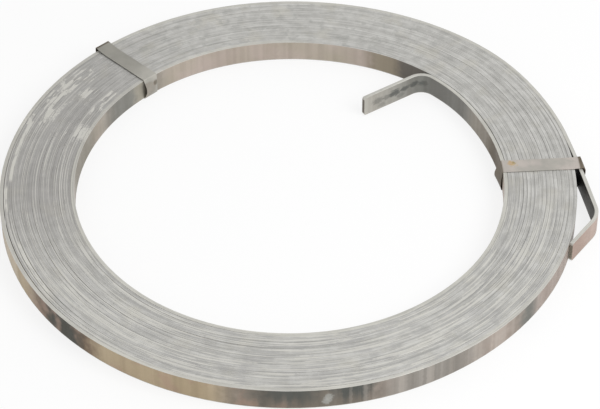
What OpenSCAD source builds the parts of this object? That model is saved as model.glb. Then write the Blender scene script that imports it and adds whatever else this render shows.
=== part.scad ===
// Coil of flat galvanised steel strip, lying on its end and tied by two steel straps.
// Millimetres. The coil's axis is Z and passes through the origin; Z = 0 is the floor.
// Seen from above, the strip winds clockwise from its inner end to its outer end.

/* [Strip] */
// Width of the strip, which is the height of the coil
strip_w = 25; // [20:0.5:40]
// Thickness of the strip
strip_t = 4; // [3:0.1:5]
// Rounding of the strip's long edges
edge_r = 1; // [0.5:0.1:1.2]
// Rounding of the corners at the strip's two cut ends
end_r = 2.6; // [1:0.1:5]

/* [Winding] */
// Diameter of the bore at the strip's inner end
bore_d = 470; // [380:1:600]
// Whole turns in the coil
turns = 19; // [8:1:24]
// Mean gap between one turn and the next
turn_gap = 0.16; // [0.1:0.02:0.4]

/* [Inner end] */
// Direction, seen from the axis, in which the inner end leaves the bore's wall
inner_dir = 46.5; // [40:0.5:70]
// Inside radius of the bend that turns the inner end into the bore
inner_bend_r = 17; // [8:1:25]
// Angle of that bend
inner_bend_a = 77; // [45:1:90]
// Straight length of the inner end after the bend
inner_l = 68; // [30:1:100]

/* [Outer end] */
// Direction, seen from the axis, in which the outer end leaves the outside of the coil
outer_dir = 8.7; // [8:0.1:12]
// Straight length of the outer end before it is folded back
outer_l = 98; // [85:1:120]
// Inside radius of the fold
fold_r = 26; // [15:1:40]
// Angle of the fold
fold_a = 47; // [40:1:60]

/* [Ties] */
// Width of a tie's strap
strap_w = 19; // [12:1:25]
// Thickness of a tie's strap
strap_t = 0.7; // [0.5:0.1:1]
// How far the outer leg of a tie bows out between the coil's two ends
strap_bow = 1.6; // [0.8:0.1:2.5]
// How far the leg of the right tie in the bore bows in
right_bow = 6; // [2:0.5:8]
// How far the leg of the back tie in the bore bows in
back_bow = 4; // [2:0.5:8]
// Direction of the right tie, seen from the axis
right_dir = 4.3; // [3:0.1:5]
// Direction of the back tie, seen from the axis
back_dir = 133.5; // [100:0.5:200]

/* [Hidden] */
// Play between a tie and the strip, and between the strip's outer end and the coil
seat_gap = 0.1;
// The spiral is drawn from two centres: each half turn is a true arc about one of them,
// and a short straight length joins it to the next half turn
centre_off = round((strip_t + turn_gap) / 4 * 100) / 100;
join_l = 1;
near_centre = -centre_off * dir(inner_dir) + join_l / 2 * along(inner_dir);
far_centre = -near_centre;
// One turn of the winding, from a face of the strip to the same face a turn later
pitch = 4 * centre_off;
half_gap = (pitch - strip_t) / 2;
near_r = bore_d / 2;
far_r = near_r + pitch / 2;
// Inner face of the last part turn, and the outside of the coil next to the folded end
last_r = near_r + turns * pitch;
coil_wall_r = last_r - 2 * half_gap;
// The strip lies on the ties
strip_z = strap_t + seat_gap;
// A rounded edge is drawn as two flats: how far its middle corner stands in, and its slope
edge_mid = edge_r / 4;
edge_slope = (edge_r - edge_mid) / edge_mid;
// The seam between two turns runs on down to the middle of their gap
seam_depth = edge_r + half_gap * edge_slope;
// How far the last part turn is rooted in the turn under it
root = 2 * half_gap + strip_t / 4;
// A straight free length laps into the bends next to it, thinner by a hair on every side
lap = 0.5;
hair = 0.02;
// Where the folded end meets the coil
fold_dir = outer_dir - fold_a;
fold_centre = (last_r - fold_r) * dir(outer_dir) + outer_l * along(outer_dir);
return_start = fold_centre + fold_r * dir(fold_dir);
return_l = reach(return_start, along(fold_dir), coil_wall_r + seat_gap);
$fn = 96;

// A unit step out from the axis, and a unit step clockwise round it
function dir(a) = [cos(a), sin(a)];
function along(a) = [sin(a), -cos(a)];

// How far to go from a point, in a direction, to come down on a circle about the near centre
function reach(p, d, r) = -(p * d) - sqrt(pow(p * d, 2) - p * p + r * r);

// Distance from the axis, in a direction, to a round wall about one of the two centres
function wall(centre, r, a) = centre * dir(a) + sqrt(pow(centre * dir(a), 2) - centre * centre + r * r);

// One end of n turns side by side, from the bore outwards: g roots the first face further in,
// and d thins the section on every side
function turn_edge(k, n, g, d) = [
    k == 0 ? [d - g, d + edge_r + g * edge_slope] : [k * pitch - half_gap, seam_depth],
    [k * pitch + d + edge_mid, d + edge_mid],
    [k * pitch + d + edge_r, d],
    [k * pitch - d + strip_t - edge_r, d],
    [k * pitch - d + strip_t - edge_mid, d + edge_mid],
    if (k == n - 1) [k * pitch - d + strip_t, d + edge_r]
];
function end_edge(n, g, d) = [for (k = [0 : n - 1]) each turn_edge(k, n, g, d)];
function other_end(pts) = [for (i = [len(pts) - 1 : -1 : 0]) [pts[i][0], strip_w - pts[i][1]]];

// Section through n turns, with its inner face at x = 0
module section(n, g = 0, d = 0) {
    polygon(concat(end_edge(n, g, d), other_end(end_edge(n, g, d))));
}

// Turns swept about Z between two directions
module swept(r, from, to, n, g = 0) {
    rotate_extrude(angle = to - from, start = from)
        translate([r, 0])
            section(n, g);
}

// A short length that joins the half turns, and runs clockwise
module joint() {
    rotate([90, 0, 0])
        linear_extrude(join_l)
            section(turns);
}

// A straight free length that runs clockwise between two bends
module straight(from, to) {
    translate([0, -from])
        rotate([90, 0, 0])
            linear_extrude(to - from)
                section(1, 0, hair);
}

// Face of a free length that runs along X to the strip's cut end, whose corners are rounded
module cut_face(l) {
    difference() {
        translate([-2 * lap, 0])
            square([l + 2 * lap, strip_w]);
        for (side = [0, 1])
            translate([l - end_r, side * strip_w])
                mirror([0, side])
                    difference() {
                        square([2 * end_r, end_r]);
                        translate([0, end_r])
                            circle(end_r);
                    }
    }
}

// A straight length from a bend to a cut end: to the inner one, or clockwise to the outer one
module free_end(l, clockwise) {
    intersection() {
        if (clockwise) straight(-lap, l + lap);
        else straight(-l - lap, lap);
        translate([clockwise ? strip_t : 0, 0])
            rotate([90, 0, clockwise ? -90 : 90])
                linear_extrude(strip_t)
                    cut_face(l);
    }
}

// The whole turns, with the line through the two centres along X
module whole_turns() {
    translate([centre_off, join_l / 2])
        swept(far_r, 0, 180, turns);
    translate([-centre_off, -join_l / 2])
        swept(near_r, 180, 360, turns);
    translate([centre_off + far_r, join_l / 2])
        joint();
    translate([-centre_off - near_r, join_l / 2])
        mirror([1, 0, 0])
            joint();
}

module inner_end() {
    translate([near_r - inner_bend_r, 0]) {
        swept(inner_bend_r, 0, inner_bend_a, 1);
        rotate([0, 0, inner_bend_a])
            translate([inner_bend_r, 0])
                free_end(inner_l, false);
    }
}

// The last part turn, which lies on the whole turns, and then the free end
module outer_end() {
    leave = outer_dir - inner_dir;
    swept(last_r, leave, 0, 1, root);
    rotate([0, 0, leave]) {
        translate([last_r, 0])
            straight(-lap, outer_l + lap);
        translate([last_r - fold_r, -outer_l]) {
            swept(fold_r, -fold_a, 0, 1);
            rotate([0, 0, -fold_a])
                translate([fold_r, 0])
                    free_end(return_l, true);
        }
    }
}

module strip_coil() {
    color([0.74, 0.74, 0.72])
        translate([0, 0, strip_z])
            rotate([0, 0, inner_dir])
                union() {
                    whole_turns();
                    translate([-centre_off, -join_l / 2]) {
                        inner_end();
                        outer_end();
                    }
                }
}

// Bowed side of a tie's loop, grown by g, that stands out from x = 0 towards -X
module bowed_leg(bow, g) {
    half_h = strip_w / 2 + seat_gap;
    bow_r = (half_h * half_h + bow * bow) / (2 * bow);
    intersection() {
        translate([bow_r - bow, 0])
            circle(bow_r + g);
        translate([-bow - g, -half_h - g])
            square([bow_r, 2 * (half_h + g)]);
    }
}

// Outline of a tie's loop, grown by g, round a block from x0 to x1 that stands on the ties
module loop(x0, x1, bow, g) {
    half_h = strip_w / 2 + seat_gap;
    translate([0, strap_t + half_h]) {
        translate([x0, -half_h - g])
            square([x1 - x0, 2 * (half_h + g)]);
        translate([x0, 0])
            bowed_leg(bow, g);
        translate([x1, 0])
            mirror([1, 0])
                bowed_leg(strap_bow, g);
    }
}

module strap(a, x0, x1, bow) {
    color([0.62, 0.61, 0.6])
        rotate([90, 0, a])
            linear_extrude(strap_w, center = true)
                difference() {
                    loop(x0, x1, bow, strap_t);
                    loop(x0, x1, bow, 0);
                }
}

// A flat strap in the bore touches the round wall with its two edges
function bore_seat(r) = sqrt(r * r - strap_w * strap_w / 4) - seat_gap;

module strap_back() {
    strap(
        back_dir,
        bore_seat(wall(far_centre, far_r, back_dir)),
        wall(far_centre, far_r + turns * pitch - 2 * half_gap, back_dir) + seat_gap,
        back_bow
    );
}

// Outside, the right tie rests on the outer end, which slopes away under it
module strap_right() {
    slope = outer_dir - right_dir;
    tail_face = last_r + strip_t + near_centre * dir(outer_dir);
    strap(
        right_dir,
        bore_seat(wall(near_centre, near_r, right_dir)),
        (tail_face + strap_w / 2 * sin(slope)) / cos(slope) + seat_gap,
        right_bow
    );
}

strip_coil();
strap_back();
strap_right();
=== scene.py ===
# %% [markdown]
# # A coil of galvanised steel strip
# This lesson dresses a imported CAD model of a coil: flat steel strip, dipped in zinc, wound
# nineteen times round a wide bore and tied with two steel straps. The CAD model is loaded first
# and stays untouched, because every size here has to agree with it. Each later cell makes one
# piece or one finish.

import math
import random

import bpy
from mathutils import Matrix, Vector


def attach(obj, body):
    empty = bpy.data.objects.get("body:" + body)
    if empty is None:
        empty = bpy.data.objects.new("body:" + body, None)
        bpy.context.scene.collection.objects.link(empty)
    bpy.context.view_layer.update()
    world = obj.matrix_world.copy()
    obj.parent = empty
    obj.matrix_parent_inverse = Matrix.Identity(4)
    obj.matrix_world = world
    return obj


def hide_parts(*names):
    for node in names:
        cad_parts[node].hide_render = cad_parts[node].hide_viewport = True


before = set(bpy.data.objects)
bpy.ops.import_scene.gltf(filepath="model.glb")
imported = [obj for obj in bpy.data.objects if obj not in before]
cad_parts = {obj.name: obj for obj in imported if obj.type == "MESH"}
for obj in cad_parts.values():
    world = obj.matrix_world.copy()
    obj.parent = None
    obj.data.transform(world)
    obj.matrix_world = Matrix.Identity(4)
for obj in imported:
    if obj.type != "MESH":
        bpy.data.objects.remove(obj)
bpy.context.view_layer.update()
scene = bpy.context.scene
scene.view_settings.view_transform = "Standard"
MM = 0.001

# %% [markdown]
# ## Camera
# The coil is seen from in front and above. A long lens far away gives the slight perspective of
# a product picture, and a small roll levels it. The camera is placed from an aim point, a
# distance and an elevation, which is easier to read and to change than a typed matrix.

# %% Camera
IMAGE_W = 600
SENSOR_W = 36.0
FOCAL_PX = 2371
AIM = Vector((9.4, -15.4, 0.8)) * MM
DISTANCE = 2583 * MM
ELEVATION = math.radians(42.53)
ROLL = math.radians(-0.4)

forward = Vector((0, math.cos(ELEVATION), -math.sin(ELEVATION)))
across_view = Vector((1, 0, 0))
up_view = across_view.cross(forward)
camera_x = math.cos(ROLL) * across_view + math.sin(ROLL) * up_view
camera_y = math.cos(ROLL) * up_view - math.sin(ROLL) * across_view

camera = bpy.data.objects.new("camera", bpy.data.cameras.new("camera"))
camera.data.sensor_width = SENSOR_W
camera.data.sensor_fit = "HORIZONTAL"
camera.data.lens = FOCAL_PX * SENSOR_W / IMAGE_W
camera.matrix_world = Matrix.Translation(AIM - DISTANCE * forward) @ Matrix(
    (camera_x, camera_y, -forward)
).transposed().to_4x4()
scene.collection.objects.link(camera)
scene.camera = camera
print("lens, mm:", round(camera.data.lens, 1))

# %% [markdown]
# ## Node helpers
# Materials and Geometry Nodes are both graphs of nodes. Built by hand in the editor they are easy
# to see but hard to repeat, so one short helper adds a node, sets its options and fills each of
# its inputs with a number, a colour or a link.

# %% Node helpers
# a Mix node has sockets for every kind of data, and these are the ones for colours
MIX_MASK, MIX_FIRST, MIX_SECOND, MIX_RESULT = 0, 6, 7, 2


def plug(tree, socket, value):
    """Fill an input with a link or with a value."""
    if isinstance(value, bpy.types.NodeSocket):
        tree.links.new(value, socket)
    else:
        socket.default_value = value


def add(tree, kind, inputs=None, **options):
    """A new node, with its options set and its inputs filled."""
    made = tree.nodes.new(kind)
    for name, value in options.items():
        setattr(made, name, value)
    for key, value in (inputs or {}).items():
        plug(tree, made.inputs[key], value)
    return made


def calc(tree, operation, *values):
    """The outcome of a Math node."""
    made = add(tree, "ShaderNodeMath", dict(enumerate(values)), operation=operation)
    return made.outputs[0]


def srgb(red, green, blue):
    """A colour as a picture shows it, 0 to 255, in the light values that shaders use."""
    light = [
        c / 255 / 12.92 if c <= 10 else ((c / 255 + 0.055) / 1.055) ** 2.4
        for c in (red, green, blue)
    ]
    return (*light, 1.0)


def ramp(tree, value, low, high, start=0.0, end=1.0):
    """A soft step: start below low, end above high."""
    made = add(
        tree,
        "ShaderNodeMapRange",
        {"Value": value, "From Min": low, "From Max": high, "To Min": start, "To Max": end},
        interpolation_type="SMOOTHSTEP",
    )
    return made.outputs["Result"]


def fade(tree, value, low, high):
    """The same step downwards: 1 below low, 0 above high."""
    return ramp(tree, value, low, high, 1.0, 0.0)


def mix(tree, mask, first, second, blend="MIX"):
    """The first colour, and the second one where the mask is 1."""
    made = add(tree, "ShaderNodeMix", data_type="RGBA", blend_type=blend)
    for socket, value in ((MIX_MASK, mask), (MIX_FIRST, first), (MIX_SECOND, second)):
        plug(tree, made.inputs[socket], value)
    return made.outputs[MIX_RESULT]


print("helpers ready")

# %% [markdown]
# ## Floor and light
# The coil lies on a plain pale floor under soft light. The floor is white to the camera and in
# reflections, and still takes the coil's shadow, because only part of it glows. The sky gives most
# of the light, and one large lamp on the right makes the far left of the coil a little darker.

# %% Floor and light
FLOOR_SIZE = 12.0
FLOOR_GLOW = 0.8
SKY_LIGHT = 0.8
LAMP_PLACE, LAMP_WATTS, LAMP_SIZE = (1.3, -0.7, 1.5), 20, 1.2

floor_mesh = bpy.data.meshes.new("floor")
half = FLOOR_SIZE / 2
floor_mesh.from_pydata(
    [(-half, -half, 0), (half, -half, 0), (half, half, 0), (-half, half, 0)], [], [(0, 1, 2, 3)]
)
floor = bpy.data.objects.new("floor", floor_mesh)
scene.collection.objects.link(floor)
floor_paint = bpy.data.materials.new("floor paint")
floor_paint.use_nodes = True
tree = floor_paint.node_tree
tree.nodes.clear()
rays = add(tree, "ShaderNodeLightPath").outputs
seen = calc(tree, "MAXIMUM", rays["Is Camera Ray"], rays["Is Glossy Ray"])
seen = calc(tree, "MAXIMUM", seen, rays["Is Transmission Ray"])
matt = add(tree, "ShaderNodeBsdfDiffuse", {"Color": srgb(240, 240, 240)})
glow = add(tree, "ShaderNodeEmission", {"Color": (1, 1, 1, 1), "Strength": 1.0})
share = calc(tree, "MULTIPLY", seen, FLOOR_GLOW)
surface = add(tree, "ShaderNodeMixShader", {0: share, 1: matt.outputs[0], 2: glow.outputs[0]})
add(tree, "ShaderNodeOutputMaterial", {"Surface": surface.outputs[0]})
floor_mesh.materials.append(floor_paint)

world = bpy.data.worlds.new("studio")
scene.world = world
world.use_nodes = True
tree = world.node_tree
tree.nodes.clear()
rays = add(tree, "ShaderNodeLightPath").outputs
strength = calc(tree, "MAXIMUM", rays["Is Camera Ray"], SKY_LIGHT)
sky = add(tree, "ShaderNodeBackground", {"Color": (1, 1, 1, 1), "Strength": strength})
add(tree, "ShaderNodeOutputWorld", {"Surface": sky.outputs[0]})

lamp = bpy.data.objects.new("lamp", bpy.data.lights.new("lamp", "AREA"))
lamp.data.energy = LAMP_WATTS
lamp.data.size = LAMP_SIZE
lamp.location = LAMP_PLACE
lamp.rotation_euler = Vector(LAMP_PLACE).to_track_quat("Z", "Y").to_euler()
scene.collection.objects.link(lamp)
print("floor, sky and lamp of", LAMP_WATTS, "W")

# %% [markdown]
# ## Effects that the finishes share
# Zinc on strip carries marks that run along it: streaks, rubbed dashes, dull patches. A streak is
# a noise read along the strip's own length, so it stays on one turn and never runs across to the
# next. Other marks belong to one side of the coil, or to one spot. Each of these is a small node
# group, made once, with named inputs, and placed in both finishes with other values.

# %% Shared effects
def effect(name, inputs):
    """A new shader group with float or vector inputs and one mask as output."""
    group = bpy.data.node_groups.new(name, "ShaderNodeTree")
    for label, value in inputs.items():
        kind = "NodeSocketVector" if isinstance(value, tuple) else "NodeSocketFloat"
        group.interface.new_socket(label, in_out="INPUT", socket_type=kind).default_value = value
    group.interface.new_socket("Mask", in_out="OUTPUT", socket_type="NodeSocketFloat")
    return group, add(group, "NodeGroupInput").outputs


def close(group, value):
    """Put the mask out of the group, which is then ready to be placed."""
    add(group, "NodeGroupOutput", {0: value})
    return group


def noise_of(group, vector, scale, detail=2.0):
    """A cloudy noise, from 0 to 1."""
    made = add(group, "ShaderNodeTexNoise", {"Vector": vector, "Scale": scale, "Detail": detail})
    return made.outputs["Fac"]


HERE = (0.0, 0.0, 0.0)

group, given = effect(
    "streaks",
    {
        "Place": HERE, "Along": 0.0, "Per metre": 30.0, "Through": 0.0, "Layers": 1.0, "Seed": 0.0,
        "Low": 0.5, "High": 0.6,
    },
)
ragged = calc(group, "MULTIPLY", noise_of(group, given["Place"], 260.0), 0.4)
where = add(
    group,
    "ShaderNodeCombineXYZ",
    {
        0: calc(group, "MULTIPLY_ADD", given["Along"], given["Per metre"], ragged),
        1: calc(group, "MULTIPLY", given["Through"], given["Layers"]),
        2: given["Seed"],
    },
)
wave = noise_of(group, where.outputs[0], 1.0)
STREAKS = close(group, ramp(group, wave, given["Low"], given["High"]))

group, given = effect(
    "one side", {"Place": HERE, "Bearing": 0.0, "Half width": 20.0, "Soft": 10.0, "Ragged": 0.0}
)
flat = add(group, "ShaderNodeVectorMath", {0: given["Place"], 1: (1, 1, 0)}, operation="MULTIPLY")
outward = add(group, "ShaderNodeVectorMath", {0: flat.outputs[0]}, operation="NORMALIZE")
turn = calc(group, "RADIANS", given["Bearing"])
aim = add(
    group,
    "ShaderNodeCombineXYZ",
    {0: calc(group, "COSINE", turn), 1: calc(group, "SINE", turn)},
)
dot = add(
    group,
    "ShaderNodeVectorMath",
    {0: outward.outputs[0], 1: aim.outputs[0]},
    operation="DOT_PRODUCT",
)
off = calc(group, "DEGREES", calc(group, "ARCCOSINE", dot.outputs["Value"]))
uneven = calc(group, "SUBTRACT", noise_of(group, given["Place"], 130.0, 3.0), 0.5)
off = calc(group, "MULTIPLY_ADD", uneven, given["Ragged"], off)
fade_from = calc(group, "SUBTRACT", given["Half width"], given["Soft"])
fade_to = calc(group, "ADD", given["Half width"], given["Soft"])
ONE_SIDE = close(group, calc(group, "SUBTRACT", 1.0, ramp(group, off, fade_from, fade_to)))

group, given = effect("spot", {"Place": HERE, "Centre": HERE, "Radius": 0.005, "Ragged": 0.5})
span = add(
    group, "ShaderNodeVectorMath", {0: given["Place"], 1: given["Centre"]}, operation="DISTANCE"
)
off = calc(group, "DIVIDE", span.outputs["Value"], given["Radius"])
uneven = calc(group, "SUBTRACT", noise_of(group, given["Place"], 420.0, 3.0), 0.5)
off = calc(group, "MULTIPLY_ADD", uneven, given["Ragged"], off)
SPOT = close(group, calc(group, "SUBTRACT", 1.0, ramp(group, off, 0.4, 1.0)))

group, given = effect("mottle", {"Place": HERE, "Scale": 80.0, "Low": 0.4, "High": 0.6})
cloudy = noise_of(group, given["Place"], given["Scale"], 4.0)
MOTTLE = close(group, ramp(group, cloudy, given["Low"], given["High"]))


def use(tree, group, **inputs):
    """Place a shared effect; an underscore in a name stands for a space."""
    made = add(tree, "ShaderNodeGroup", node_tree=group)
    for key, value in inputs.items():
        plug(tree, made.inputs[key.replace("_", " ")], value)
    return made.outputs[0]


def both(tree, first, second):
    """Where two masks meet."""
    return calc(tree, "MULTIPLY", first, second)


print("shared effects:", [g.name for g in (STREAKS, ONE_SIDE, SPOT, MOTTLE)])

# %% [markdown]
# ## Galvanised strip: the edges
# The turns show two kinds of surface. Their narrow edges make up the ends of the coil: pale grey
# zinc, streaked along every turn, blotched at the back, smudged in front, with painted shade on the
# left.
# The finish follows three coordinates that the strip carries itself: how far along it a point
# lies, how far across its width, and on which of its faces.

# %% Galvanised strip: the edges
def new_finish(name):
    """A material with its tree and the coordinates that its pattern follows."""
    made = bpy.data.materials.new(name)
    made.use_nodes = True
    tree = made.node_tree
    tree.nodes.clear()
    place = add(tree, "ShaderNodeTexCoord").outputs["Object"]
    along, across, through = (
        add(tree, "ShaderNodeAttribute", attribute_name=name).outputs["Fac"]
        for name in ("along", "across", "through")
    )
    return made, tree, place, along, across, through


galvanised, tree, place, along, across, through = new_finish("galvanised strip")


# these five work on the finish that is being made
def streaks(per_metre, layers, seed, low, high):
    """Streaks along the strip; more layers tell its faces apart more."""
    return use(
        tree, STREAKS, Place=place, Along=along, Per_metre=per_metre, Through=through,
        Layers=layers, Seed=seed, Low=low, High=high,
    )


def side(bearing, half_width, soft, ragged=0.0):
    """One side of the coil, in degrees as seen from its axis."""
    return use(
        tree, ONE_SIDE, Place=place, Bearing=bearing, Half_width=half_width,
        Soft=soft, Ragged=ragged,
    )


def mottle(scale, low, high):
    """Cloudy patches."""
    return use(tree, MOTTLE, Place=place, Scale=scale, Low=low, High=high)


def lay_over(base, mask, share, colour):
    """A colour over the base, where the mask is, at a share of its full strength."""
    return mix(tree, calc(tree, "MULTIPLY", mask, share), base, colour)


def darker(colour, share):
    """A colour times a share of red, green and blue."""
    return mix(tree, 1.0, colour, (*share, 1), "MULTIPLY")


tone = calc(tree, "MULTIPLY", streaks(5.0, 0.7, 1.3, 0.36, 0.64), 0.3)
tone = calc(tree, "MULTIPLY_ADD", streaks(22.0, 1.5, 7.3, 0.36, 0.64), 0.4, tone)
tone = calc(tree, "MULTIPLY_ADD", mottle(75.0, 0.36, 0.64), 0.3, tone)
zinc = mix(tree, tone, srgb(164, 163, 159), srgb(208, 207, 203))
zinc = lay_over(zinc, mottle(34.0, 0.52, 0.7), 0.3, srgb(194, 190, 176))
blotched = both(tree, mottle(105.0, 0.56, 0.66), side(95.0, 45.0, 20.0))
zinc = lay_over(zinc, blotched, 0.45, srgb(160, 160, 156))
# painted shade: the zinc on the left of the coil evened out and darkened, as if less light fell
# there
left_painted_shade = darker(mix(tree, 0.4, zinc, srgb(186, 185, 181)), (0.735, 0.725, 0.73))
zinc = mix(tree, side(168.0, 36.0, 25.0), zinc, left_painted_shade)
smudge = both(tree, streaks(15.0, 0.8, 11.3, 0.53, 0.61), side(295.0, 70.0, 30.0))
zinc = lay_over(zinc, smudge, 0.6, srgb(158, 157, 155))
shaded = both(tree, mottle(46.0, 0.5, 0.62), side(290.0, 60.0, 25.0))
zinc = lay_over(zinc, shaded, 0.35, srgb(162, 161, 160))
print("edges:", len(tree.nodes), "nodes")

# %% [markdown]
# ## Galvanised strip: marks on the edges
# Where turns have rubbed on something, the zinc is bright: short dashes in clusters at the back
# left, longer lines on single turns, specks in front. A cluster is a row of soft spots that lets
# the dashes through. Zinc also bridges some seams and painted light lightens their rims, painted
# shade darkens others, and a painted highlight brightens the first and the last turn.

# %% Galvanised strip: marks on the edges
RUBBED = (  # centre in metres, and a radius
    (-0.286, 0.092, 0.0258, 0.022),
    (-0.276, 0.115, 0.0258, 0.024),
    (-0.263, 0.140, 0.0258, 0.021),
    (-0.250, 0.160, 0.0258, 0.019),
    (-0.237, 0.178, 0.0258, 0.019),
    (-0.211, 0.139, 0.0258, 0.020),
    (-0.220, 0.120, 0.0258, 0.016),
    (-0.236, 0.077, 0.0258, 0.019),
    (-0.230, 0.146, 0.0258, 0.014),
)
BRIGHT_RUNS = ((28.255, 28.365), (30.13, 30.18), (28.07, 28.165))  # metres along the strip
RUN_SOFT = 0.01
FIRST_TURN_TO, LAST_TURN_FROM, TURN_SOFT = 1.45, 31.25, 0.05

dashes = calc(tree, "MULTIPLY", streaks(36.0, 0.3, 3.3, 0.52, 0.555), 0.95)
rubbed = 0.0
for *centre, size in RUBBED:
    cluster = use(tree, SPOT, Place=place, Centre=centre, Radius=size, Ragged=1.4)
    rubbed = calc(tree, "MAXIMUM", rubbed, both(tree, cluster, dashes))
lines = both(tree, streaks(6.0, 2.0, 19.3, 0.57, 0.62), side(200.0, 50.0, 14.0))
specks = both(tree, streaks(17.0, 0.9, 23.3, 0.54, 0.60), side(275.0, 75.0, 20.0))
for bright in (lines, specks):
    rubbed = calc(tree, "MAXIMUM", rubbed, calc(tree, "MULTIPLY", bright, 0.8))
for start, end in BRIGHT_RUNS:
    stretch = both(
        tree, ramp(tree, along, start, start + RUN_SOFT), fade(tree, along, end - RUN_SOFT, end)
    )
    broken = both(tree, stretch, streaks(60.0, 0.8, 27.3, 0.3, 0.5))
    rubbed = calc(tree, "MAXIMUM", rubbed, broken)
zinc = lay_over(zinc, rubbed, 0.8, srgb(216, 214, 206))

# zinc bridging and painted light lighten the seam rims most on the left and in front, and painted
# shade darkens them on the right
near_seam = ramp(tree, calc(tree, "ABSOLUTE", through), 0.75, 0.95)
bridged_and_lit = calc(tree, "MULTIPLY_ADD", side(235.0, 75.0, 20.0), 0.2, 0.3)
zinc = mix(tree, both(tree, near_seam, bridged_and_lit), zinc, srgb(214, 213, 208))
seam_shade = both(tree, near_seam, side(350.0, 42.0, 20.0))
seam_shade = both(tree, seam_shade, streaks(24.0, 0.4, 31.3, 0.3, 0.6))
zinc = lay_over(zinc, seam_shade, 0.5, srgb(124, 123, 119))

# painted highlight: the edges of the first and the last turn lighter, as rims that catch the light
end_turn_highlight = calc(
    tree,
    "MAXIMUM",
    ramp(tree, along, LAST_TURN_FROM, LAST_TURN_FROM + TURN_SOFT),
    fade(tree, along, FIRST_TURN_TO - TURN_SOFT, FIRST_TURN_TO),
)
zinc = lay_over(zinc, end_turn_highlight, 0.45, srgb(208, 206, 196))
print("edges with their marks:", len(tree.nodes), "nodes")

# %% [markdown]
# ## Galvanised strip: the two walls
# The wide faces show on the bore's wall and on the outside. There the zinc is smooth. In the bore
# it has taken stains, tan to pinkish, with a painted shadow of the inner end and painted light
# beside the back tie. Outside, its pinkish and tan tones and dark patches are painted reflections
# of warm surroundings and of a dark object. Each patch is a stretch of the wall, given by its
# bearing, its half width and the softness of its ends, and is laid over the ones before it. Stains
# under the upper rim run down the wall in strokes.

# %% Galvanised strip: the two walls
PINKISH, TAN, GREYISH = srgb(176, 163, 153), srgb(182, 165, 136), srgb(148, 143, 136)
# painted reflections on the outside wall: tan from warm surroundings, greys and charcoal from
# darker ones
OUTSIDE_REFLECTIONS = (
    (226.0, 33.0, 6.0, TAN),
    (297.0, 10.0, 6.0, GREYISH),
    (221.0, 9.5, 3.0, srgb(120, 99, 78)),
    (222.0, 5.0, 2.6, srgb(62, 61, 50)),
    (272.0, 13.5, 4.0, srgb(126, 118, 107)),
    (319.4, 4.0, 3.0, srgb(152, 141, 131)),
    (321.6, 2.6, 2.0, srgb(106, 106, 99)),
    (334.0, 10.0, 3.0, srgb(160, 146, 136)),
)
RIM_STAINS = (
    (269.5, 5.0, 3.0, srgb(92, 93, 88)),
    (281.2, 3.6, 1.8, srgb(88, 90, 86)),
)
BORE_STAINS_SHADOW_AND_LIGHT = (
    (62.0, 6.0, 4.0, srgb(150, 140, 123)),
    (22.0, 14.0, 5.0, srgb(150, 143, 132)),
    (11.0, 7.0, 3.0, srgb(102, 90, 73)),
    (42.0, 12.0, 4.0, srgb(130, 129, 124)),
    # painted shadow of the inner end on the bore's wall
    (54.0, 4.5, 2.5, srgb(112, 107, 100)),
    # beside the back tie: a stain, and below it a narrow patch of painted light against the shade
    # of the tie's standing edge
    (141.0, 11.0, 6.0, srgb(134, 133, 127)),
    (136.5, 2.2, 2.0, srgb(172, 167, 154)),
    (170.0, 13.0, 6.0, srgb(142, 136, 124)),
)
SMEARS = (  # centre in metres, and a radius
    (0.0368, -0.3137, 0.0150, 0.0062),
    (0.0346, -0.3140, 0.0095, 0.0062),
)
BORE_SIDE = (0.245, 0.255)  # metres from the origin, between the bore's wall and the outside


def patched(colour, stains, ragged, limit=None):
    """A wall's colour under a list of patches (stains, painted reflections, painted shade and
    light), all of them kept to the limit if there is one.
    """
    for bearing, half_width, soft, stain in stains:
        mask = side(bearing, half_width, soft, ragged)
        colour = mix(tree, both(tree, mask, limit) if limit else mask, colour, stain)
    return colour


# painted reflection: the outside's pinkish tone, mottled
pinkish = lay_over(PINKISH, mottle(90.0, 0.45, 0.68), 0.45, srgb(196, 186, 176))
outer_wall = patched(pinkish, OUTSIDE_REFLECTIONS, 4.5)
# painted reflection: a warm mottled tone on the left of the outside
warm = both(tree, mottle(38.0, 0.46, 0.62), side(240.0, 28.0, 8.0))
outer_wall = lay_over(outer_wall, warm, 0.55, srgb(176, 148, 130))
strokes = calc(tree, "MULTIPLY_ADD", streaks(110.0, 0.0, 45.3, 0.34, 0.66), 0.8, across)
outer_wall = patched(outer_wall, RIM_STAINS, 5.0, ramp(tree, strokes, -0.7, 1.0))
for *centre, size in SMEARS:
    smear = use(tree, SPOT, Place=place, Centre=centre, Radius=size, Ragged=0.9)
    outer_wall = lay_over(outer_wall, smear, 0.65, srgb(176, 177, 172))
worn = both(tree, streaks(130.0, 0.0, 41.3, 0.46, 0.64), side(298.0, 18.0, 6.0))
outer_wall = lay_over(outer_wall, worn, 0.4, srgb(194, 186, 177))
bore_base = mix(tree, mottle(16.0, 0.35, 0.65), srgb(178, 169, 154), srgb(190, 177, 168))
bore_wall = patched(bore_base, BORE_STAINS_SHADOW_AND_LIGHT, 3.5)
radius = add(tree, "ShaderNodeVectorMath", {0: place}, operation="LENGTH").outputs["Value"]
face = mix(tree, fade(tree, radius, *BORE_SIDE), outer_wall, bore_wall)
print("stains:", len(OUTSIDE_REFLECTIONS + RIM_STAINS), "outside,", len(BORE_STAINS_SHADOW_AND_LIGHT), "in the bore")

# %% [markdown]
# ## Galvanised strip: its two ends
# The inner end, bent into the bore, is greyer and carries a row of soft blotches on its face
# towards the axis. They are spots too, but placed by the strip's own coordinates, along and across,
# and drawn out along it. The outer end's inner face carries painted shade and a painted dark
# reflection, with painted light near the right tie, and its folded-back face a pinkish painted
# reflection. How much strip is left before the outer cut tells where that end begins.

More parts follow.
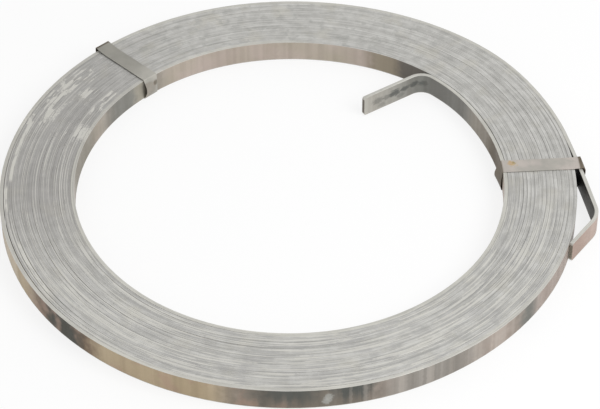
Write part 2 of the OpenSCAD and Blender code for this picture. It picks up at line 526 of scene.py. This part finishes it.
# %% Galvanised strip: its two ends
INNER_END_TO, INNER_SOFT = 0.098, 0.02  # metres along the strip
BLOTCHES = (  # metres along and across the inner end, half height, and strength
    (0.019, 0.0004, 0.0062, 0.50),
    (0.032, 0.0002, 0.0046, 0.50),
    (0.0425, 0.0012, 0.0062, 0.95),
    (0.0560, 0.0014, 0.0046, 0.90),
    (0.0695, 0.0020, 0.0052, 0.95),
    (0.0825, 0.0012, 0.0052, 0.85),
    (0.050, -0.0055, 0.0045, 0.40),
    (0.024, -0.0075, 0.0045, 0.35),
)
HALF_W = 0.0125  # half the strip's width
LENGTHEN = 0.6  # height of a blotch, as a share of its length
OUTER_END_L, OUTER_SOFT = 0.189, 0.01  # metres before the outer cut
DARK_FROM, DARK_TO = 0.179, 0.124
FOLD_L, FOLD_SOFT, FOLD_DARK_SOFT = 0.094, 0.03, 0.05
CUT_DEPTH = 0.0001

towards_axis = ramp(tree, through, -0.2, 0.2)
bare = mix(tree, ramp(tree, along, 0.0, INNER_END_TO), srgb(190, 187, 179), srgb(128, 129, 124))
on_end = add(
    tree,
    "ShaderNodeCombineXYZ",
    {0: calc(tree, "MULTIPLY", along, LENGTHEN), 1: calc(tree, "MULTIPLY", across, HALF_W)},
)
for from_cut, height, size, strength in BLOTCHES:
    centre = (from_cut * LENGTHEN, height, 0.0)
    blotch = use(tree, SPOT, Place=on_end.outputs[0], Centre=centre, Radius=size, Ragged=1.1)
    bare = lay_over(bare, both(tree, blotch, towards_axis), strength, srgb(100, 102, 98))
face = mix(tree, fade(tree, along, INNER_END_TO - INNER_SOFT, INNER_END_TO), face, bare)
face = mix(tree, fade(tree, along, CUT_DEPTH, 2 * CUT_DEPTH), face, srgb(106, 98, 90))

left = add(tree, "ShaderNodeAttribute", attribute_name="left").outputs["Fac"]
# painted shade and painted reflection on the outer end's inner face: dark in the middle, olive by
# the fold, and painted light near the right tie where the narrow gap to the coil is in shade
painted_shade_and_light = mix(tree, fade(tree, left, DARK_TO, DARK_FROM), srgb(205, 208, 205), srgb(24, 36, 44))
by_fold = fade(tree, left, FOLD_L, FOLD_L + FOLD_DARK_SOFT)
painted_shade_and_light = mix(tree, by_fold, painted_shade_and_light, srgb(52, 50, 40))
loose_end = fade(tree, left, OUTER_END_L, OUTER_END_L + OUTER_SOFT)
face = mix(tree, both(tree, loose_end, towards_axis), face, painted_shade_and_light)
away_from_axis = calc(tree, "SUBTRACT", 1.0, towards_axis)
# painted reflection: a warm pinkish tone on the folded-back face
folded = both(tree, fade(tree, left, FOLD_L, FOLD_L + FOLD_SOFT), away_from_axis)
face = lay_over(face, folded, 0.65, srgb(184, 158, 145))
face = mix(tree, fade(tree, left, CUT_DEPTH, 2 * CUT_DEPTH), face, srgb(162, 158, 146))
print("both ends, with", len(BLOTCHES), "blotches:", len(tree.nodes), "nodes")

# %% [markdown]
# ## Galvanised strip: the surface
# Fine and broad streaks cross the faces from rim to rim, and a painted highlight makes the lower
# rim paler. Edges and faces then meet at the strip's rounded corners, in one base colour. The metal
# is half dull, half mirror-like, smoother where it is bright or rubbed, and a faint rolled grain
# tilts its normals.

# %% Galvanised strip: the surface
LOW_RIM_HIGHLIGHT = (-0.97, -0.9)  # across the strip, from -1 to 1
EDGE_FROM = (0.955, 0.985)
GRAIN_ALONG, GRAIN_ACROSS = 60.0, 22.0
GRAIN_DEPTH = 0.0004

fine = streaks(150.0, 0.0, 5.3, 0.38, 0.66)
face = lay_over(face, fine, 0.28, darker(face, (0.66, 0.64, 0.62)))
broad = streaks(38.0, 0.0, 15.3, 0.42, 0.62)
face = lay_over(face, broad, 0.3, darker(face, (0.72, 0.69, 0.66)))
# painted highlight: the lower rim of each face paler, as a rounded edge that catches the light
face = lay_over(face, fade(tree, across, *LOW_RIM_HIGHLIGHT), 0.5, srgb(190, 186, 178))

edge = ramp(tree, calc(tree, "ABSOLUTE", across), *EDGE_FROM)
rolled = add(
    tree,
    "ShaderNodeCombineXYZ",
    {
        0: calc(tree, "MULTIPLY", along, GRAIN_ALONG),
        1: calc(tree, "MULTIPLY", across, GRAIN_ACROSS),
        2: through,
    },
)
grain = noise_of(tree, rolled.outputs[0], 1.0, 3.0)
bump = add(tree, "ShaderNodeBump", {"Strength": 0.1, "Distance": GRAIN_DEPTH, "Height": grain})
skin = add(
    tree,
    "ShaderNodeBsdfPrincipled",
    {
        "Base Color": mix(tree, edge, face, zinc),
        "Metallic": 0.5,
        "Roughness": ramp(tree, calc(tree, "ADD", tone, rubbed), 0.0, 1.4, 0.54, 0.36),
        "Normal": bump.outputs[0],
    },
)
add(tree, "ShaderNodeOutputMaterial", {"Surface": skin.outputs[0]})
print("galvanised strip:", len(tree.nodes), "nodes")

# %% [markdown]
# ## Strap steel
# The ties are plain steel strapping, flatter and duller than the zinc. Handling leaves clouds on
# it. The back one is darker, partly from a darker oxide and partly from a painted reflection of
# darker surroundings. Painted shade darkens the outer legs and the right tie's leg in the bore,
# rust has started on the right tie, and a painted shadow marks the gap where the back tie stands
# off the bore's wall.
# The same groups give the streaks along its length, the clouds and the spots.

# %% Strap steel
BACK_DIR, RIGHT_DIR = 133.5, 3.7  # bearings of the two ties
TIE_SIDE = (20.0, 5.0)
# metres from the origin, between which a mask fades
BACK_TOP, BACK_LEG = (0.238, 0.272), (0.2345, 0.236)
RIGHT_LEG, OUTER_LEGS = (0.2315, 0.234), (0.3155, 0.3175)
RUST_AND_SHADOW = (  # centre in metres, a radius, how ragged, and the colour
    ((0.2425, 0.0190, 0.0266), 0.0050, 2.6, srgb(190, 166, 122)),
    ((0.2395, 0.0205, 0.0266), 0.0042, 2.6, srgb(190, 160, 118)),
    ((0.2436, 0.0212, 0.0266), 0.0026, 2.0, srgb(150, 138, 96)),
    # painted shadow: the dark gap where the back tie's edge stands off the bore's wall
    ((-0.1538, 0.1758, 0.0165), 0.0052, 0.8, srgb(84, 72, 52)),
)

strap_steel, tree, place, along, across, through = new_finish("strap steel")
cloud = mottle(60.0, 0.35, 0.65)
steel = mix(tree, cloud, srgb(173, 170, 162), srgb(193, 185, 178))
steel = lay_over(steel, streaks(60.0, 0.0, 2.3, 0.36, 0.64), 0.3, srgb(158, 154, 149))
radius = add(tree, "ShaderNodeVectorMath", {0: place}, operation="LENGTH").outputs["Value"]
at_back = side(BACK_DIR, *TIE_SIDE)
steel = mix(tree, at_back, steel, mix(tree, cloud, srgb(172, 170, 162), srgb(184, 181, 173)))
# darker oxide, and a painted reflection of darker surroundings, on the back tie away from the bore
oxide_and_reflection = both(tree, at_back, ramp(tree, radius, *BACK_TOP))
steel = mix(tree, oxide_and_reflection, steel, darker(steel, (0.7, 0.7, 0.69)))
back_leg = both(tree, at_back, fade(tree, radius, *BACK_LEG))
steel = mix(tree, back_leg, steel, darker(steel, (0.74, 0.70, 0.67)))
# painted shade on the outer legs of both ties and on the right tie's leg in the bore
right_leg = both(tree, side(RIGHT_DIR, *TIE_SIDE), fade(tree, radius, *RIGHT_LEG))
legs_painted_shade = calc(tree, "MAXIMUM", ramp(tree, radius, *OUTER_LEGS), right_leg)
steel = mix(tree, legs_painted_shade, steel, mix(tree, cloud, srgb(88, 79, 66), srgb(116, 106, 92)))
for centre, size, ragged, colour in RUST_AND_SHADOW:
    rust_and_shadow_spot = use(tree, SPOT, Place=place, Centre=centre, Radius=size, Ragged=ragged)
    steel = lay_over(steel, rust_and_shadow_spot, 0.7, colour)
skin = add(
    tree,
    "ShaderNodeBsdfPrincipled",
    {
        "Base Color": steel,
        "Metallic": 0.5,
        "Roughness": ramp(tree, cloud, 0.0, 1.0, 0.42, 0.52),
    },
)
add(tree, "ShaderNodeOutputMaterial", {"Surface": skin.outputs[0]})
print("strap steel:", len(tree.nodes), "nodes")

# %% [markdown]
# ## A band along a route
# The strip and the straps are both flat bands that follow a route, so one Geometry Nodes tree makes
# all three. It turns a row of points into a curve, lays the band's section across the direction
# that each point carries, and sweeps it. It also writes how far across the band and through its
# thickness a point lies, which the finishes read. The tree takes any width, so it is used again.

# %% A band along a route
SHARP_ANGLE = math.radians(8)
CORNER_STEPS = 3

band_tree = bpy.data.node_groups.new("band along a route", "GeometryNodeTree")
sockets = band_tree.interface
sockets.new_socket("Route", in_out="INPUT", socket_type="NodeSocketGeometry")
for label in ("Width", "Thickness", "Edge radius"):
    sockets.new_socket(label, in_out="INPUT", socket_type="NodeSocketFloat")
sockets.new_socket("Finish", in_out="INPUT", socket_type="NodeSocketMaterial")
sockets.new_socket("Band", in_out="OUTPUT", socket_type="NodeSocketGeometry")
given = add(band_tree, "NodeGroupInput").outputs

lay = add(band_tree, "GeometryNodeInputNamedAttribute", {"Name": "lay"}, data_type="FLOAT_VECTOR")
curve = add(band_tree, "GeometryNodeMeshToCurve", {"Mesh": given["Route"]})
curve = add(
    band_tree,
    "GeometryNodeSetCurveNormal",
    {"Curve": curve.outputs["Curve"], "Normal": lay.outputs["Attribute"]},
    mode="FREE",
)
section = add(
    band_tree,
    "GeometryNodeCurvePrimitiveQuadrilateral",
    {"Width": given["Width"], "Height": given["Thickness"]},
)
section = add(
    band_tree,
    "GeometryNodeFilletCurve",
    {"Curve": section.outputs["Curve"], "Count": CORNER_STEPS, "Radius": given["Edge radius"]},
    mode="POLY",
).outputs["Curve"]
section_place = add(band_tree, "GeometryNodeInputPosition").outputs[0]
corner = add(band_tree, "ShaderNodeSeparateXYZ", {0: section_place})
for label, axis, size in (("across", "X", "Width"), ("through", "Y", "Thickness")):
    half_size = calc(band_tree, "MULTIPLY", given[size], 0.5)
    section = add(
        band_tree,
        "GeometryNodeStoreNamedAttribute",
        {
            "Geometry": section,
            "Name": label,
            "Value": calc(band_tree, "DIVIDE", corner.outputs[axis], half_size),
        },
        data_type="FLOAT",
        domain="POINT",
    ).outputs["Geometry"]
swept = add(
    band_tree,
    "GeometryNodeCurveToMesh",
    {"Curve": curve.outputs["Curve"], "Profile Curve": section, "Fill Caps": True},
)
fold_angle = add(band_tree, "GeometryNodeInputMeshEdgeAngle").outputs["Unsigned Angle"]
swept = add(
    band_tree,
    "GeometryNodeStoreNamedAttribute",
    {
        "Geometry": swept.outputs["Mesh"],
        "Name": "sharp_edge",
        "Value": calc(band_tree, "GREATER_THAN", fold_angle, SHARP_ANGLE),
    },
    data_type="BOOLEAN",
    domain="EDGE",
)
whole = add(band_tree, "GeometryNodeRealizeInstances", {"Geometry": swept.outputs["Geometry"]})
painted = add(
    band_tree,
    "GeometryNodeSetMaterial",
    {"Geometry": whole.outputs["Geometry"], "Material": given["Finish"]},
)
add(band_tree, "NodeGroupOutput", {"Band": painted.outputs["Geometry"]})
SOCKET = {s.name: s.identifier for s in sockets.items_tree if s.in_out == "INPUT"}
print("band tree:", len(band_tree.nodes), "nodes, inputs:", list(SOCKET))

# %% [markdown]
# ## From a route to a piece
# A route is a mesh of points and links that carries the band's direction and the length done and
# left at each point. The tree works on it as a modifier, and its result is copied into a plain
# mesh, so that the finished piece needs no modifier and keeps nothing of the route.

# %% From a route to a piece
def make_band(name, points, lays, width, thickness, edge_radius, finish, closed=False):
    """A band through the points, as a plain mesh; lays hold the direction across it."""
    count = len(points)
    route = bpy.data.meshes.new(name + " route")
    links = [(i, i + 1) for i in range(count - 1)] + ([(count - 1, 0)] if closed else [])
    route.from_pydata(points, links, [])
    length = [0.0]
    for a, b in zip(points, points[1:]):
        length.append(length[-1] + (Vector(b) - Vector(a)).length)
    to_go = [length[-1] - done for done in length]
    for label, values in (("along", length), ("left", to_go)):
        route.attributes.new(label, "FLOAT", "POINT").data.foreach_set("value", values)
    flat_lays = [c for v in lays for c in v]
    route.attributes.new("lay", "FLOAT_VECTOR", "POINT").data.foreach_set("vector", flat_lays)
    maker = bpy.data.objects.new(name + " maker", route)
    scene.collection.objects.link(maker)
    modifier = maker.modifiers.new("band", "NODES")
    modifier.node_group = band_tree
    inputs = {
        "Width": width, "Thickness": thickness, "Edge radius": edge_radius, "Finish": finish,
    }
    for label, value in inputs.items():
        modifier[SOCKET[label]] = value
    ready = maker.evaluated_get(bpy.context.evaluated_depsgraph_get())
    mesh = bpy.data.meshes.new_from_object(ready)
    mesh.name = name
    bpy.data.objects.remove(maker)
    bpy.data.meshes.remove(route)
    band = bpy.data.objects.new(name, mesh)
    scene.collection.objects.link(band)
    mesh.calc_loop_triangles()
    print(name, "length, m:", round(length[-1], 3), "triangles:", len(mesh.loop_triangles))
    return band


print("ready to make bands")

# %% [markdown]
# ## The strip's route
# Real turns never lie quite evenly: some seams are tight and some open, the coil is a little flat
# on both sides of the place where the inner end was bent in, and the turns don't end level. The
# route starts from the same spiral as the CAD model, half turns about two centres, and adds these
# small faults. A seam's opening is added to every turn outside it, so turns never cut each other.

# %% Sizes of the winding
ZINC = 0.035 * MM
STRIP_W, STRIP_T, STRIP_EDGE = 25 * MM, 4 * MM + 2 * ZINC, 0.22 * MM
STRAP_T, SEAT_GAP = 0.7 * MM, 0.1 * MM
BORE_R = 235 * MM
TURNS = 19
PITCH = 4.16 * MM
TURN_GAP = PITCH - STRIP_T
INNER_DIR, LEAVE_DIR = 46.5, 10.0  # bearings where the winding begins and ends
JOIN_L = 1 * MM
STRIP_MID_Z = STRAP_T + SEAT_GAP + STRIP_W / 2
LEVEL_RANGE = 0.3 * MM
NOISE_LIMIT = 1.6
SETTLE = 60  # degrees in which the second turn takes up its own gap
WOUND = 360.0 * TURNS + INNER_DIR - LEAVE_DIR


def toward(angle):
    """A level unit step in a direction, in degrees anticlockwise from +X."""
    return Vector((math.cos(math.radians(angle)), math.sin(math.radians(angle))))


NEAR_CENTRE = -PITCH / 4 * toward(INNER_DIR) + JOIN_L / 2 * toward(INNER_DIR - 90)


def hump(bearing, middle, half_width, power=2):
    """1 at the middle, and soft to 0 on both sides."""
    off = (bearing - middle + 180) % 360 - 180
    return math.exp(-abs(off / half_width) ** power)


def once(wound, middle, half_width):
    """A hump at one place along the winding, not repeated on the other turns."""
    return math.exp(-(((wound - middle) / half_width) ** 2))


def wander(seed, slowest, fastest, count=12):
    """A smooth, repeatable noise along the winding: waves per turn between two limits."""
    draw = random.Random(seed)
    waves = [
        (draw.uniform(slowest, fastest), draw.uniform(0, math.tau), draw.uniform(0.6, 1.4))
        for _ in range(count)
    ]
    scale = math.sqrt(2 / sum(w * w for _, _, w in waves))
    return lambda wound: max(-NOISE_LIMIT, min(NOISE_LIMIT, scale * sum(
        w * math.sin(f * math.radians(wound) + p) for f, p, w in waves
    )))


seam_noise = wander(5, 0.4, 4.0)
level_noise = wander(9, 0.3, 2.5)
print("strip wound, degrees:", WOUND)

# %% Seams, roundness and level
def last_pass(bearing, turns_in=0):
    """How far the strip is wound where its outer turns pass a bearing; 0 is the outermost."""
    return INNER_DIR - bearing + 360 * (TURNS - turns_in)


def open_seams(wound):
    """Seams that stand open: by the inner turn on the right, by the outer turns on the left."""
    return MM * (
        0.7 * once(wound, 360 + 27, 14)
        + 0.7 * once(wound, last_pass(203), 24)
        + 0.4 * once(wound, last_pass(205, 2), 22)
        + 0.5 * once(wound, last_pass(11) + 360, 10)
    )


def opening(wound):
    """Gap between a turn and the one inside it."""
    bearing = INNER_DIR - wound
    loose = (
        1
        + hump(bearing, 235, 70, 4)
        - 0.65 * hump(bearing, 95, 55, 4)
        + 0.4 * hump(bearing, 45, 13)
    )
    settled = min(1.0, max(0.0, (wound - 360) / SETTLE))
    uneven = min(2.0, math.exp(0.9 * seam_noise(wound) - 0.35))
    return TURN_GAP * (1 + settled * (loose * uneven - 1)) + open_seams(wound)


def slack(wound):
    """How far the openings inside a turn have moved it out of the even spiral."""
    moved = 0.0
    while wound >= 360:
        moved += opening(wound) - TURN_GAP
        wound -= 360
    return moved - open_seams(wound + 360)


def roundness(wound):
    """How far the coil is out of round there."""
    bearing = INNER_DIR - wound
    over_bend = 1.0 if wound > 180 else 0.0
    return MM * (
        -0.8
        - 2.6 * hump(bearing, 6, 27, 4)
        - 2.1 * hump(bearing, 84, 25)
        + 0.4 * over_bend * hump(bearing, 40, 9)
        - 0.4 * hump(bearing, 195, 30)
        + 0.4 * hump(bearing, 275, 35)
    )


def wound_point(wound):
    """Middle of the strip, after so many degrees of winding from the inner end."""
    half_turn = int(wound // 180)
    centre = NEAR_CENTRE if half_turn % 2 == 0 else -NEAR_CENTRE
    even_r = BORE_R + STRIP_T / 2 + half_turn * PITCH / 2
    return centre + (even_r + slack(wound) + roundness(wound)) * toward(INNER_DIR - wound)


def raised(wound):
    """How far a turn stands above the lowest one."""
    return LEVEL_RANGE / 2 * (1 + level_noise(wound) / NOISE_LIMIT)


widest = max(opening(360 + 2 * i) for i in range(int(WOUND - 360) // 2))
print("widest seam, mm:", round(widest / MM, 2))

# %% [markdown]
# ## The strip
# The inner end is bent into the bore and runs straight to its cut. The outer end leaves the coil
# in a straight line, passes under the right tie, and is folded back until its cut end meets the
# outside. Both ends are drawn as arcs and straight lengths that start from the winding itself,
# so they follow when it moves. Their cut ends have rounded corners.

# %% The strip's two ends
INNER_BEND_R, INNER_BEND_A, INNER_L = 19 * MM, 77.0, 68 * MM
FOLD_R = 30 * MM
FOLD_FROM, FOLD_TO = -80.5, -126.3
FOLD_CORNER = Vector((328.4, -61.2)) * MM
RETURN_L = 43.5 * MM
STEP = 2.5  # divides a turn, so that the facets of neighbouring turns lie side by side
# distances from a cut, close together where its corners are rounded
END_STEPS = [d * MM for d in (0.0, 0.2, 0.6, 1.2, 2.0, 3.0)]


def arc(start, heading, turn, radius, count):
    """Points of a bend that starts in a heading and turns by an angle, left if positive."""
    radius = math.copysign(radius, turn)
    centre = start + radius * toward(heading + 90)
    return [centre + radius * toward(heading - 90 + turn * i / count) for i in range(count + 1)]


def bezier(a, b, c, d, count):
    """Points inside a curve from a to d, which sets out towards b and comes in from c."""
    points = []
    for i in range(1, count):
        t = i / count
        s = 1 - t
        points.append(s**3 * a + 3 * t * s**2 * b + 3 * t * t * s * c + t**3 * d)
    return points


wounds = [STEP * i for i in range(int(WOUND / STEP) + 1)]
turned = [wound_point(w) for w in wounds]

# inner end, walked backwards from the first point of the winding
bend = arc(turned[0], INNER_DIR + 90, INNER_BEND_A, INNER_BEND_R, 16)
tip_step = toward(INNER_DIR + 90 + INNER_BEND_A)
tip = bend[-1] + INNER_L * tip_step
inner_end = [tip - d * tip_step for d in END_STEPS]
inner_end += [bend[-1] + share * INNER_L * tip_step for share in (0.75, 0.5, 0.25)]
inner_end += bend[:0:-1]

# outer end, walked forwards from the last point of the winding
trim = FOLD_R * math.tan(math.radians((FOLD_FROM - FOLD_TO) / 2))
fold_start = FOLD_CORNER - trim * toward(FOLD_FROM)
leave = (turned[-1] - turned[-2]).normalized()
third = (fold_start - turned[-1]).length / 3
leg = bezier(
    turned[-1], turned[-1] + third * leave, fold_start - third * toward(FOLD_FROM), fold_start, 12
)
fold = arc(fold_start, FOLD_FROM, FOLD_TO - FOLD_FROM, FOLD_R, 12)
cut = fold[-1] + RETURN_L * toward(FOLD_TO)
outer_end = leg + fold
outer_end += [fold[-1] + share * RETURN_L * toward(FOLD_TO) for share in (0.3, 0.6)]
outer_end += [cut - d * toward(FOLD_TO) for d in END_STEPS[::-1]]

middles = [STRIP_MID_Z + raised(w) for w in wounds]
route = (
    [(p.x, p.y, middles[0]) for p in inner_end]
    + [(p.x, p.y, z) for p, z in zip(turned, middles)]
    + [(p.x, p.y, middles[-1]) for p in outer_end]
)
print("route points:", len(route), "cut end at, mm:", [round(c / MM, 1) for c in cut])

# %% The strip
CORNER_R = 2.6 * MM

strip = make_band(
    "coiled_strip", route, [(0, 0, 1)] * len(route), STRIP_W, STRIP_T, STRIP_EDGE, galvanised
)
lengths_done = [a.value for a in strip.data.attributes["along"].data]
total = max(lengths_done)
for vertex, done in zip(strip.data.vertices, lengths_done):
    left_over = min(done, total - done)
    if left_over < CORNER_R:
        short = CORNER_R - math.sqrt(CORNER_R**2 - (CORNER_R - left_over) ** 2)
        limit = STRIP_W / 2 - short
        middle = middles[0] if done < total / 2 else middles[-1]
        vertex.co.z = middle + max(-limit, min(limit, vertex.co.z - middle))
print("strip ends rounded, mm:", CORNER_R / MM)

# %% [markdown]
# ## The ties
# A tie is a strap drawn round the coil, through the bore and back. It bends sharply at the four
# corners, keeps a knuckle at the outer upper one, and bows out on both upright legs. The back tie
# has slipped, so one of its edges stands off; the right tie leans where it lies on the outer end.
# The same tree makes both, from a loop of points whose crosswise direction leans leg by leg.

# %% Shape of a tie
STRAP_W = 19 * MM
STRAP_EDGE = 0.2 * MM
STRAP_CORNER = 0.9 * MM
KNUCKLE_REACH = 7 * MM
LEG_STEPS = 16
UPRIGHT = Vector((0, 0, 1))


def swell(share, peak):
    """From 0 at both ends of a leg to 1 where it stands off most."""
    return math.sin(math.pi * share ** (math.log(0.5) / math.log(peak)))


def tie_corners(inner_r, outer_r, skew, leans):
    """Corners of a loop, as distance and height, from the foot of its leg in the bore."""
    top_rise, outer_rise, _ = (abs(math.sin(math.radians(a))) * STRAP_W / 2 for a in leans)
    # a flat strap meets the round wall with its edges, and the wall is drawn in short chords
    flat_seat = math.sqrt(inner_r**2 - (STRAP_W / 2 + abs(skew)) ** 2)
    near = flat_seat - 2 * SEAT_GAP - STRAP_T / 2
    far = outer_r + SEAT_GAP + STRAP_T / 2 + outer_rise
    low = STRAP_T / 2
    high = 2 * STRIP_MID_Z + LEVEL_RANGE - STRAP_T / 2 + top_rise
    return [Vector(c) for c in ((near, low), (near, high), (far, high), (far, low))]


def tie_leg(start, end, radial, bow, twist, lean, peak):
    """Points of one leg between two corners, with the direction across the strap at each."""
    ahead = (end - start).normalized()
    away = Vector((-ahead.y, ahead.x))
    sideways = UPRIGHT.cross(radial)
    outward = away.x * radial + away.y * UPRIGHT
    spots = []
    for k in range(LEG_STEPS + 1):
        share = (1 - math.cos(math.pi * k / LEG_STEPS)) / 2
        twisted = math.radians(twist * swell(share, peak))
        turned_by = math.radians(lean) + twisted
        lay_out = math.cos(turned_by) * sideways + math.sin(turned_by) * outward
        spot = (start + STRAP_CORNER * ahead).lerp(end - STRAP_CORNER * ahead, share)
        stand_off = bow * swell(share, peak) + abs(math.sin(twisted)) * STRAP_W / 2
        spots.append((spot + stand_off * away, lay_out))
    return spots


def tie(name, bearing, inner_r, outer_r, twist, peak, bows, knuckle, skew, leans):
    """A strap round the coil's section, from its leg in the bore; leans are for the other legs."""
    radial = Vector((*toward(bearing), 0))
    corners = tie_corners(inner_r, outer_r, skew, leans)
    near, far = corners[0].x, corners[2].x
    in_bore, outside = bows
    ways = ((in_bore, twist, 0), (0, 0, leans[0]), (outside, 0, leans[1]), (0, 0, leans[2]))
    legs = [
        tie_leg(corners[i], corners[(i + 1) % 4], radial, *way, peak) for i, way in enumerate(ways)
    ]
    loop = []
    for i, spots in enumerate(legs):
        (last, last_lay), (first, first_lay) = spots[-1], legs[(i + 1) % 4][0]
        loop += spots
        for t in (0.25, 0.5, 0.75):
            bent = (1 - t) ** 2 * last + 2 * t * (1 - t) * corners[(i + 1) % 4] + t * t * first
            loop.append((bent, last_lay.lerp(first_lay, t).normalized()))
    points = []
    for spot, _ in loop:
        bulge = knuckle * math.exp(-(((spot - corners[2]).length / KNUCKLE_REACH) ** 2))
        spot = spot + bulge * Vector((1, 1)).normalized()
        shift = skew * (far - spot.x) / (far - near)
        points.append(spot.x * radial + spot.y * UPRIGHT + shift * UPRIGHT.cross(radial))
    lays = [lay_out for _, lay_out in loop]
    return make_band(name, points, lays, STRAP_W, STRAP_T, STRAP_EDGE, strap_steel, closed=True)


print("a tie has", 4 * (LEG_STEPS + 1) + 4 * 3, "points")

# %% The ties
def wall_radius(bearing, outermost):
    """Distance from the axis to the bore's wall or to the outside, at a bearing."""
    wound = (INNER_DIR - bearing) % 360
    if outermost:
        wound += 360 * int((wounds[-1] - wound) // 360)
    return wound_point(wound).length + (STRIP_T / 2 if outermost else -STRIP_T / 2)


def leg_radius(bearing):
    """Distance from the axis to the outer end's outer face, at a bearing."""
    nearest = min(leg, key=lambda p: abs(math.degrees(math.atan2(p.y, p.x)) - bearing))
    return nearest.length + STRIP_T / 2


tie_back = tie(
    "tie_back", BACK_DIR, wall_radius(BACK_DIR, False), wall_radius(BACK_DIR, True),
    twist=13, peak=0.5, bows=(0.4 * MM, 1.6 * MM), knuckle=3 * MM, skew=-2.5 * MM,
    leans=(2, 0, 0),
)
tie_right = tie(
    "tie_right", RIGHT_DIR, wall_radius(RIGHT_DIR, False), leg_radius(RIGHT_DIR),
    twist=14, peak=0.3, bows=(0.9 * MM, 2.2 * MM), knuckle=1.5 * MM, skew=0.8 * MM,
    leans=(0, -6, 0),
)

# %% [markdown]
# ## Hand over
# Each piece rides on the coil's one body and stands for the CAD node that it replaces, which is
# hidden.

# %% Hand over
for piece, node_name, slot in (
    (strip, "strip_coil", "galvanised_strip"),
    (tie_back, "strap_back", "strap_steel"),
    (tie_right, "strap_right", "strap_steel"),
):
    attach(piece, "root")
    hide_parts(node_name)
